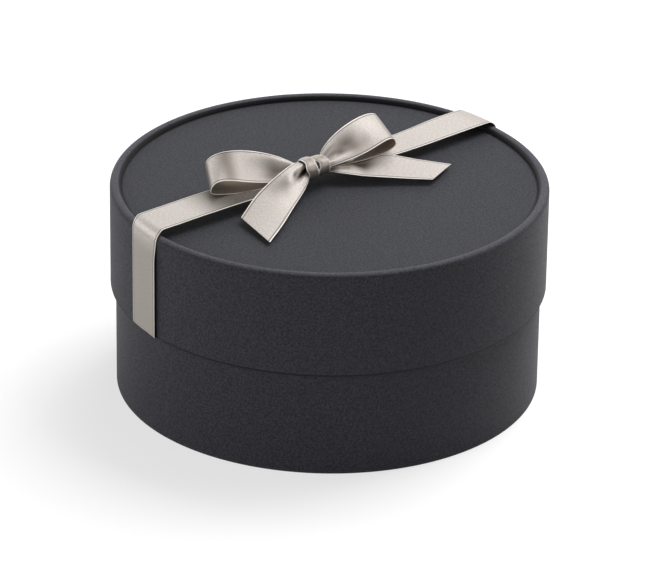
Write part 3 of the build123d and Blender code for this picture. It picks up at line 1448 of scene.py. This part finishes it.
    def painted_shade(self, across: float, along: float) -> float:
        """How much shade is painted: down the sides, round the knot and where the left loop leans on it.

        Args:
            across: Share of the ribbon's width, which makes no difference here.
            along: Share of its length.

        Returns:
            The strength, from 0 to 1.
        """
        radius, height, share, side = self.path[self.step(along)]
        x = side * share * radius
        # Painted shade: down the hanging sides, round the knot, in the left loop's shadow on the band and
        # where it turns down over the right rim.
        hanging = self.hanging_shade * self.hung(height, self.shaded_hang)
        gathered = self.gathered_shade * bell(x, self.pinch_place, self.pinch_reach)
        under_loop = smooth_step(*self.under_loop, x)
        leaned = self.leaned_shade * under_loop * smooth_step(*self.under_knot, x)
        turning = self.turning_shade * smooth_step(*self.turning_span, x)
        return min(1.0, hanging + max(gathered, leaned, turning))

    def build(self) -> None:
        """Lay the ribbon over the lid."""
        piece = RibbonPiece(
            "ribbon_over_lid", self, self.across_steps, len(self.path) - 1, self.finishes.satin,
            self.finishes.satin_back, back_outside=True,
        ).build()
        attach(piece, Body.LID.value)
        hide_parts("ribbon_band")


@dataclass(frozen=True)
class LoopEdge:
    """One edge of a loop: a teardrop from the knot's end out to a round fold and back."""

    root: float
    upper: float
    lower: float
    fold: Place
    arch: float
    sag: float
    late: Span

    def place(self, turn: float) -> Place:
        """A point of the edge, in shares of the ribbon's width.

        Args:
            turn: 0 at the upper root, 1 at the lower root.

        Returns:
            Shares along, across and above.
        """
        out = math.sin(math.pi * turn) ** 2
        upper = turn <= 0.5
        late = self.late[0 if upper else 1]
        peak = late / (late + 0.5)
        swell = out ** late * math.sqrt(1 - out) / (peak ** late * math.sqrt(1 - peak))
        rise = self.arch * swell if upper else -self.sag * swell
        root_above = self.upper if upper else self.lower
        fold_along, fold_across, fold_above = self.fold
        return (
            fold_along * out,
            self.root + (fold_across - self.root) * out,
            root_above * (1 - out) + fold_above * out + rise,
        )


@dataclass(frozen=True)
class TailEdge:
    """One edge of a tail: a smooth curve through places along, across and above."""

    places: tuple[Place, ...]

    def place(self, share: float) -> Place:
        """A point of the edge, in shares of the ribbon's width.

        Args:
            share: 0 at the knot, 1 at the cut end.

        Returns:
            Shares along, across and above.
        """
        points = [Vector(place) for place in self.places]
        knots = [0.0]
        for before, after in zip(points, points[1:]):
            knots.append(knots[-1] + (after - before).length)
        reach = share * knots[-1]
        index = max(i for i in range(len(points) - 1) if knots[i] <= reach or i == 0)
        span = knots[index + 1] - knots[index]
        step = (reach - knots[index]) / span
        slopes = []
        for i in (index, index + 1):
            before, after = max(i - 1, 0), min(i + 1, len(points) - 1)
            slopes.append((points[after] - points[before]) / (knots[after] - knots[before]) * span)
        cube, square = step ** 3, step ** 2
        made = points[index] * (2 * cube - 3 * square + 1) + slopes[0] * (cube - 2 * square + step)
        made += points[index + 1] * (3 * square - 2 * cube) + slopes[1] * (cube - square)
        return tuple(made)


@dataclass
class KnotTurn(RibbonSurface):
    """One turn of ribbon round the knot: its left edge is the selvedge and its right one is turned in.

    It starts at a place along X from the knot's middle and has a length along X. The lift is how far it
    stands outside the knot's plain size, the slant how far it leans along X from its back to its front, and
    the part how far the edge beside the other turn opens at the upper front. Angles are in radians, from
    the front at 0 to the top at a quarter turn.
    """

    middle: Vector
    half_width: float
    half_height: float
    start: float
    length: float
    lift: float
    slant: float
    part: float
    turned_in: float = 0.003
    edge: float = 0.00045
    selvedge_shown: float = 0.0005
    face_steps: int = 16
    edge_steps: int = 6
    overlap: float = 1.02
    end_rounding: float = 0.12
    squareness: float = 2.6
    slit_angle: Span = (0.75, 0.62)
    flare: float = 0.0017
    flare_angle: Span = (0.55, 0.5)
    even_share: float = 0.2
    low_shade: float = 0.4
    low_span: Span = (0.5, -0.4)
    streak: PaintedShade = PaintedShade(0.6, 0.4, 0.2, 0.5, 0.28)
    crown: PaintedShade = PaintedShade(0.45, 1.45, 0.3, 0.25, 0.35)
    stock: RibbonStock = RibbonStock()
    profile: list[Place] = field(init=False)

    def __post_init__(self) -> None:
        """Work out the section once."""
        self.profile = self.section()

    @property
    def around(self) -> float:
        """The ribbon's length once round the knot."""
        return TURN * math.sqrt((self.half_width ** 2 + self.half_height ** 2) / 2)

    @property
    def flat_width(self) -> float:
        """The turn's width with its edge folded out."""
        return self.profile[-1][2]

    def section(self) -> list[Place]:
        """The turn's section along X.

        Returns:
            Triples of place along X, depth under the face and distance on the flat ribbon.
        """
        length, edge = self.length, self.edge
        shape = [(0.0, edge / 2), (edge, edge / 8)]
        shape += [(x, 0.0) for x, _ in line_rings((edge, 0), (length - edge, 0), self.face_steps)]
        folded = arc_rings((0, 0), edge, 90, -90, self.edge_steps)
        shape += [(length - edge + x, edge - z) for x, z in folded]
        shape += [(length - self.turned_in / 2, 2 * edge), (length - self.turned_in, 2 * edge)]
        laid = 0.0
        profile = []
        for i, (x, depth) in enumerate(shape):
            if i:
                laid += math.dist(shape[i - 1], shape[i])
            profile.append((x, depth, laid))
        return profile

    def part_of(self, across: float) -> Place:
        """The part of the section at a share of the ribbon's width."""
        return self.profile[round(across * (len(self.profile) - 1))]

    def angle(self, along: float) -> float:
        """The angle round the knot at a share of the turn's length."""
        return TURN * along * self.overlap - math.pi / 2

    def point(self, across: float, along: float) -> Vector:
        """A point of the turn's middle surface.

        Args:
            across: Share of the turn's section.
            along: Share of its length.

        Returns:
            The point in metres.
        """
        place, depth, _ = self.part_of(across)
        angle = self.angle(along)
        off_middle = abs(2 * place / self.length - 1)
        fuller = 1 - self.end_rounding * off_middle ** 3
        cosine, sine = math.cos(angle), math.sin(angle)
        power = self.squareness
        square = (abs(cosine) ** power + abs(sine) ** power) ** (-1 / power)
        y = -cosine * square * (self.half_width * fuller + self.lift - depth)
        z = sine * square * (self.half_height * fuller + self.lift - depth)
        z = max(z, -self.half_height + self.stock.thickness / 2)
        beside = place / self.length if self.part < 0 else 1 - place / self.length
        opened = self.part * beside * bell(angle, *self.slit_angle)
        if self.part < 0:
            opened -= self.flare * (1 - beside) * bell(angle, *self.flare_angle)
        x = self.start + place + opened - self.slant * y / self.half_width
        return self.middle + Vector((x, y, z))

    def laid(self, across: float, along: float) -> tuple[float, float]:
        """The same point on the ribbon, whose whole width is gathered between the turn's two edges.

        Args:
            across: Share of the turn's section.
            along: Share of its length.

        Returns:
            Metres across and along the flat ribbon.
        """
        share = self.part_of(across)[2] / (max(self.profile)[2] - self.selvedge_shown)
        gathered = self.even_share * share + (1 - self.even_share) * smooth_step(0.0, 1.0, share)
        return gathered * self.stock.width, along * self.around

    def painted_shade(self, across: float, along: float) -> float:
        """How much shade is painted: browner low on the knot and along the middle of each turn.

        Args:
            across: Share of the turn's section.
            along: Share of its length.

        Returns:
            The strength.
        """
        # Painted shade: darker on the knot's underside, in a streak along each turn and in a patch near its
        # top.
        angle = self.angle(along)
        low = self.low_shade * smooth_step(*self.low_span, math.sin(angle))
        return low + self.streak.strength(across, angle) + self.crown.strength(across, angle)


@dataclass
class Bow:
    """The bow on the ribbon: two loops, two tails and a knot of two turns.

    Arches are shares of the ribbon's width.
    """

    band: RibbonBand
    finishes: Finishes
    knot_place: float = -0.0073
    knot_offset: float = 0.0046
    knot_length: float = 0.0144
    knot_width: float = 0.0134
    knot_height: float = 0.0106
    root_depth: float = 0.002
    upper_arch: float = 0.07
    lower_arch: float = 0.02
    tail_arch: float = 0.06
    least_arch: float = 0.004
    loop_fade_power: int = 8
    tail_fade_power: int = 4
    loop_stations: int = 97
    tail_stations: int = 61
    across_steps: int = 28
    knot_steps: int = 96
    stock: RibbonStock = RibbonStock()

    def spot(self, end: End, along: float, across: float, above: float) -> Vector:
        """A point of the bow from shares of the ribbon's width.

        Args:
            end: The end of the knot that it is measured from.
            along: Share outward from the knot's end.
            across: Share across.
            above: Share above the ribbon.

        Returns:
            The point in metres.
        """
        width = self.stock.width
        return Vector((
            self.knot_place + end.value * (self.knot_length / 2 + along * width),
            self.knot_offset + across * width,
            self.band.top + above * width,
        ))

    def edge_points(self, end: End, edge: LoopEdge | TailEdge, shares: Sequence[float]) -> list[Vector]:
        """The points of one edge from inside the knot, and back into it where the edge is a loop's.

        Args:
            end: The end of the knot that the edge leaves.
            edge: The edge.
            shares: The places on the edge, from 0 to 1.

        Returns:
            The points in metres.
        """
        inward = Vector((-end.value * self.root_depth, 0, 0))
        points = [self.spot(end, *edge.place(share)) for share in shares]
        back_in = [points[-1] + inward] if isinstance(edge, LoopEdge) else []
        return [points[0] + inward, *points, *back_in]

    def loop(
        self, name: str, node: str, end: End, near: LoopEdge, far: LoopEdge, marks: Sequence[Mark]
    ) -> None:
        """Make one loop.

        Args:
            name: The piece's name.
            node: The CAD node it stands for.
            end: The end of the knot it leaves.
            near: Its edge nearer the front.
            far: Its edge nearer the back.
            marks: Folds, dimples and patches of painted shade, placed by the way out along the upper run.
        """
        turns = [i / (self.loop_stations - 1) for i in range(self.loop_stations)]
        near_points = self.edge_points(end, near, turns)
        far_points = self.edge_points(end, far, turns)
        arches = [self.loop_arch(turn) for turn in turns]
        arches = [arches[0], *arches, arches[-1]]
        outs = [0.0, *(min(1.0, 2 * turn) if turn <= 0.5 else 1.0 for turn in turns), 1.0]
        stations = face_stations(near_points, far_points, arches, outs, -end.value)
        self.finish_piece(name, node, stations, marks, end is End.RIGHT)

    def loop_arch(self, turn: float) -> float:
        """How far a loop's cross-section arches.

        Args:
            turn: 0 at the upper root, 1 at the lower root.

        Returns:
            The arch in metres.
        """
        fade = math.cos(math.pi * turn) ** self.loop_fade_power
        if turn <= 0.5:
            return (self.upper_arch * fade + self.least_arch) * self.stock.width
        return (-self.lower_arch * fade - self.least_arch) * self.stock.width

    def tail(
        self, name: str, node: str, end: End, near: TailEdge, far: TailEdge, marks: Sequence[Mark]
    ) -> None:
        """Make one tail.

        Args:
            name: The piece's name.
            node: The CAD node it stands for.
            end: The end of the knot it leaves.
            near: Its edge nearer the front.
            far: Its edge nearer the back.
            marks: Folds, dimples and patches of painted shade, placed by the way out.
        """
        shares = [i / (self.tail_stations - 1) for i in range(self.tail_stations)]
        near_points = self.edge_points(end, near, shares)
        far_points = self.edge_points(end, far, shares)
        arches = []
        for share in shares:
            fade = (1 - share) ** self.tail_fade_power
            arches.append((self.tail_arch * fade + self.least_arch) * self.stock.width)
        arches = [arches[0], *arches]
        stations = face_stations(near_points, far_points, arches, [0.0, *shares], -end.value)
        self.finish_piece(name, node, stations, marks, end is End.RIGHT)

    def finish_piece(
        self,
        name: str,
        node: str,
        stations: list[Station],
        marks: Sequence[Mark],
        turned: bool,
    ) -> None:
        """Build a loop or a tail and hand it to the frame.

        Args:
            name: The piece's name.
            node: The CAD node it stands for.
            stations: Its cross-sections.
            marks: What is on it.
            turned: Whether the grid's upper side is the ribbon's back.
        """
        piece = RibbonPiece(
            name, StationSurface(stations, marks), self.across_steps, len(stations) - 1,
            self.finishes.satin, self.finishes.satin_back, back_outside=turned,
        ).build()
        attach(piece, Body.LID.value)
        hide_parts(node)

    def wrap_turn(
        self, name: str, start: float, length: float, lift: float, slant: float, part: float
    ) -> None:
        """Make one turn of ribbon round the knot.

        Args:
            name: The piece's name.
            start: Where the turn starts along X, from the knot's middle.
            length: How wide the turn is along X.
            lift: How far the turn stands outside the knot's plain size.
            slant: How far the turn leans along X from its back to its front.
            part: How far the edge beside the other turn opens at the upper front, along X.
        """
        half_width, half_height = self.knot_width / 2, self.knot_height / 2
        middle = Vector((self.knot_place, self.knot_offset, self.band.top + half_height))
        turn = KnotTurn(middle, half_width, half_height, start, length, lift, slant, part)
        piece = RibbonPiece(
            name, turn, len(turn.profile) - 1, self.knot_steps, self.finishes.satin_knot_shaded,
            self.finishes.satin_back,
        ).build()
        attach(piece, Body.LID.value)
        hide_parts("bow_knot")
        LOG.info("%s: %.3f m round", name, turn.around)

    def build(self) -> None:
        """Make the six pieces of the bow."""
        # Among the marks, the patches are painted shade: in the folds' valleys, where one part shades
        # another and where the ribbon goes into the knot.
        self.loop(
            "bow_left_loop", "bow_loop_left", End.LEFT,
            LoopEdge(-0.17, 0.08, 0.06, (2.404, 0.36, 0.168), 0.236, 0.115, (3.6, 1.2)),
            LoopEdge(0.22, 0.18, 0.12, (1.90, 1.23, 0.392), 0.392, 0.28, (0.75, 1.0)),
            (Fold(0.36, 0.0, 0.24, -0.0066, 0.9), Fold(0.8, 0.0, 0.1, 0.0012, 0.6),
             Fold(0.15, 0.0, 0.08, 0.0012, 0.5), Dimple(0.5, 0.72, 0.5, 0.16, 0.0005),
             PaintedShade(0.44, 0.36, 0.34, 0.085, 0.66, 1.0), PaintedShade(0.20, 0.42, 0.22, 0.08, 0.5),
             PaintedShade(0.30, 0.56, 0.6, 0.07, 0.22), PaintedShade(0.35, 0.70, 0.9, 0.07, 0.62),
             PaintedShade(0.5, 0.94, 1.5, 0.045, 0.62)),
        )
        self.loop(
            "bow_right_loop", "bow_loop_right", End.RIGHT,
            LoopEdge(-0.16, 0.16, 0.13, (1.948, -0.176, 0.224), 0.176, 0.14, (4.4, 1.4)),
            LoopEdge(0.21, 0.22, 0.16, (2.176, 0.788, 0.464), 0.41, 0.32, (0.42, 1.0)),
            (Fold(0.54, 0.05, 0.2, -0.0062, 0.92), Fold(0.18, 0.0, 0.08, 0.0026, 0.55),
             Fold(0.8, 0.0, 0.07, 0.0012, 0.5), Fold(0.34, 0.0, 0.04, -0.0009, 0.4),
             Dimple(0.45, 0.42, 0.16, 0.09, -0.0007),
             PaintedShade(0.57, 0.40, 0.28, 0.11, 0.62), PaintedShade(0.27, 0.48, 0.27, 0.09, 0.46),
             PaintedShade(0.5, 0.25, 0.10, 0.07, 0.5), PaintedShade(0.38, 0.33, 0.12, 0.05, 0.45),
             PaintedShade(0.35, 0.59, 0.3, 0.05, 0.25), PaintedShade(0.45, 0.85, 1.2, 0.035, 0.45),
             PaintedShade(0.5, 0.93, 1.2, 0.04, 0.4)),
        )
        self.tail(
            "bow_left_tail", "bow_tail_left", End.LEFT,
            TailEdge(((0, -0.205, 0.12), (0.39, -0.50, 0), (1.08, -0.94, -0.12), (1.78, -1.44, -0.16),
                      (2.51, -1.93, -0.17))),
            TailEdge(((0, 0.165, 0.35), (0.33, 0.075, 0.40), (0.63, 0.01, 0.35), (1.15, -0.09, 0.20),
                      (1.61, -0.24, 0.07), (2.32, -0.63, -0.10))),
            (Fold(0.42, -0.1, 0.07, -0.0042, 0.34), Fold(0.74, -0.25, 0.12, 0.0014, 0.5),
             Dimple(0.58, 0.15, 0.13, 0.06, -0.0015), Dimple(0.60, 0.27, 0.2, 0.055, 0.0009),
             PaintedShade(0.49, 0.10, 0.09, 0.075, 1.1), PaintedShade(0.64, 0.17, 0.07, 0.035, 0.5),
             PaintedShade(0.60, 0.36, 0.28, 0.06, 0.34), PaintedShade(0.75, 0.45, 0.25, 0.08, 0.3),
             PaintedShade(0.5, 0.0, 3.0, 0.04, 0.9)),
        )
        self.tail(
            "bow_right_tail", "bow_tail_right", End.RIGHT,
            TailEdge(((0, -0.14, 0.052), (0.25, -0.42, 0.03), (0.56, -0.66, -0.02), (1.36, -1.23, -0.10),
                      (1.87, -1.61, -0.13))),
            TailEdge(((0, 0.14, 0.07), (0.75, 0.13, 0.065), (1.66, -0.18, 0.035), (2.22, -0.68, -0.06),
                      (2.81, -1.15, -0.17))),
            (Fold(0.28, 0.05, 0.05, -0.0014, 0.5), Fold(0.45, 0.0, 0.06, 0.0012, 0.5),
             Fold(0.58, 0.05, 0.08, -0.0030, 0.42), Fold(0.82, 0.0, 0.08, 0.001, 0.45),
             Dimple(0.5, 0.24, 0.3, 0.05, 0.0008), Dimple(0.6, 0.37, 0.35, 0.07, -0.0009),
             PaintedShade(0.50, 0.24, 0.2, 0.13, 0.85, 0.3), PaintedShade(0.62, 0.39, 0.26, 0.1, 0.55, 0.6),
             PaintedShade(0.5, 0.04, 1.5, 0.07, 0.8), PaintedShade(0.3, 0.36, 0.25, 0.06, 0.3)),
        )
        half = self.knot_length / 2
        self.wrap_turn("bow_knot_left_turn", -half - 0.0012, 0.0070, 0.0005, -0.0005, -0.0010)
        self.wrap_turn("bow_knot_right_turn", -half + 0.0054, 0.0085, -0.0003, 0.0002, 0.0018)


# Studio


@dataclass(frozen=True)
class Softbox:
    """A square lamp that lights the box but isn't mirrored in the satin."""

    name: str
    place: Place
    aim: Place
    side: float
    power: float

    def hang(self) -> None:
        """Hang the lamp and point it at its aim."""
        data = bpy.data.lights.new(self.name, "AREA")
        data.shape = "RECTANGLE"
        data.size, data.size_y = self.side, self.side
        data.energy = self.power
        lamp = bpy.data.objects.new(self.name, data)
        bpy.context.scene.collection.objects.link(lamp)
        lamp.location = self.place
        lamp.rotation_mode = "QUATERNION"
        lamp.rotation_quaternion = (Vector(self.aim) - Vector(self.place)).to_track_quat("-Z", "Y")
        lamp.visible_glossy = False


@dataclass
class Studio:
    """A pale floor, soft lights and a camera where the photograph was taken from.

    Glossy rays see a bright horizon that dims towards the ceiling and towards the side where the camera
    stands, with two soft glows in it.
    """

    eye: Place = (-1.4803, -1.8270, 1.2065)
    aim: Place = (-0.0083, -0.0118, 0.0671)
    roll_degrees: float = 0.846
    lens: float = 248.3
    sensor_width: float = 36.0
    clip_end: float = 100.0
    ambient: float = 0.245
    ceiling_span: Span = (0.42, 0.78)
    ceiling_dimming: float = 0.72
    camera_side: Place = (-0.63, -0.777, 0.0)
    camera_side_span: Span = (0.1, 0.9)
    camera_side_dimming: float = 0.55
    glow_span: Span = (0.88, 0.99)
    glows: tuple[tuple[Place, float], ...] = (((0.60, -0.04, 0.80), 1.15), ((-0.51, 0.80, 0.31), 0.7))
    floor_size: float = 30.0
    floor_grey: float = 0.40
    floor_roughness: float = 0.9
    floor_shown: float = 0.62
    floor_rise: float = 0.33
    floor_span: Span = (0.6, 1.6)
    floor_mirrored: float = 0.36
    lamps: tuple[Softbox, ...] = (
        Softbox("key", (0.65, 0.09, 1.14), (0.0, 0.0, 0.1), 0.92, 24.5),
        Softbox("fill", (-1.85, 0.0, 0.6), (0.0, 0.0, 0.06), 1.0, 16.0),
    )

    def camera(self) -> None:
        """Place the camera."""
        data = bpy.data.cameras.new("camera")
        data.lens = self.lens
        data.sensor_width = self.sensor_width
        data.sensor_fit = "HORIZONTAL"
        data.clip_end = self.clip_end
        camera = bpy.data.objects.new("camera", data)
        bpy.context.scene.collection.objects.link(camera)
        eye = Vector(self.eye)
        camera.location = eye
        camera.rotation_mode = "QUATERNION"
        level = (Vector(self.aim) - eye).to_track_quat("-Z", "Y")
        camera.rotation_quaternion = level @ Quaternion((0, 0, 1), math.radians(self.roll_degrees))
        bpy.context.scene.camera = camera

    def world(self) -> None:
        """Light the scene evenly, with a white background where the camera looks."""
        world = bpy.data.worlds.new("studio")
        bpy.context.scene.world = world
        world.use_nodes = True
        graph = Graph(world.node_tree)
        rays = graph.add("ShaderNodeLightPath").outputs
        seen = graph.math("MAXIMUM", rays["Is Camera Ray"], rays["Is Glossy Ray"])
        seen = graph.math("MAXIMUM", seen, rays["Is Transmission Ray"])
        hidden = graph.math("SUBTRACT", 1.0, rays["Is Camera Ray"])
        way = graph.add("ShaderNodeTexCoord").outputs["Generated"]
        height = graph.add("ShaderNodeSeparateXYZ", {0: way}).outputs["Z"]
        towards = graph.dot(way, self.camera_side)
        up = graph.step(height, *self.ceiling_span)
        ceiling = graph.math("MULTIPLY_ADD", up, -self.ceiling_dimming, 1.0)
        turned = graph.step(towards, *self.camera_side_span)
        rear = graph.math("MULTIPLY_ADD", turned, -self.camera_side_dimming, 1.0)
        glow = 0.0
        for direction, strength in self.glows:
            near = graph.step(graph.dot(way, direction), *self.glow_span)
            glow = graph.math("MULTIPLY_ADD", near, strength, glow)
        mirrored = graph.math("MULTIPLY_ADD", ceiling, rear, graph.math("SUBTRACT", glow, 1.0))
        backdrop = graph.math("MULTIPLY_ADD", mirrored, hidden, 1.0)
        lit = graph.math("MULTIPLY", seen, graph.math("SUBTRACT", backdrop, self.ambient))
        strength = graph.math("ADD", self.ambient, lit)
        shown = graph.add("ShaderNodeBackground", {"Color": (1.0, 1.0, 1.0, 1.0), "Strength": strength})
        graph.add("ShaderNodeOutputWorld", {"Surface": shown.outputs[0]})

    def floor(self) -> None:
        """Lay the pale floor."""
        bpy.ops.mesh.primitive_plane_add(size=self.floor_size, location=(0, 0, 0))
        floor = bpy.context.object
        floor.name = "floor"
        material = bpy.data.materials.new("floor")
        material.use_nodes = True
        graph = Graph(material.node_tree)
        rays = graph.add("ShaderNodeLightPath").outputs
        mirrored = graph.math("MULTIPLY", rays["Is Glossy Ray"], self.floor_mirrored)
        place = graph.add("ShaderNodeTexCoord").outputs["Object"]
        away = graph.add("ShaderNodeVectorMath", {0: place}, operation="LENGTH").outputs["Value"]
        far = graph.step(away, *self.floor_span)
        shown = graph.math("MULTIPLY_ADD", far, self.floor_rise, self.floor_shown)
        glow = graph.math("MAXIMUM", graph.math("MULTIPLY", rays["Is Camera Ray"], shown), mirrored)
        grey = (self.floor_grey, self.floor_grey, self.floor_grey)
        inputs = {
            "Base Color": opaque(grey), "Roughness": self.floor_roughness, "Specular IOR Level": 0.0,
            "Emission Color": (1.0, 1.0, 1.0, 1.0), "Emission Strength": glow,
        }
        shader = graph.add("ShaderNodeBsdfPrincipled", inputs)
        graph.add("ShaderNodeOutputMaterial", {"Surface": shader.outputs[0]})
        floor.data.materials.append(material)
        floor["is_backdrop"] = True

    def build(self) -> None:
        """Set the studio up."""
        bpy.context.scene.view_settings.view_transform = "Standard"
        self.camera()
        self.world()
        self.floor()
        for lamp in self.lamps:
            lamp.hang()


def main(cad_box: tuple[Vector, Vector]) -> None:
    """Build the looks piece by piece.

    Args:
        cad_box: The CAD model's corners from straight after loading; not used.
    """
    logging.basicConfig(level=logging.INFO, format="%(name)s: %(message)s")
    sizes = BoxSizes()
    finishes = Finishes()
    Studio().build()
    Base(sizes, finishes).build()
    Lid(sizes, finishes).build()
    band = RibbonBand(sizes, finishes)
    band.build()
    Bow(band, finishes).build()


if __name__ == "__main__":
    main(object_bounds())
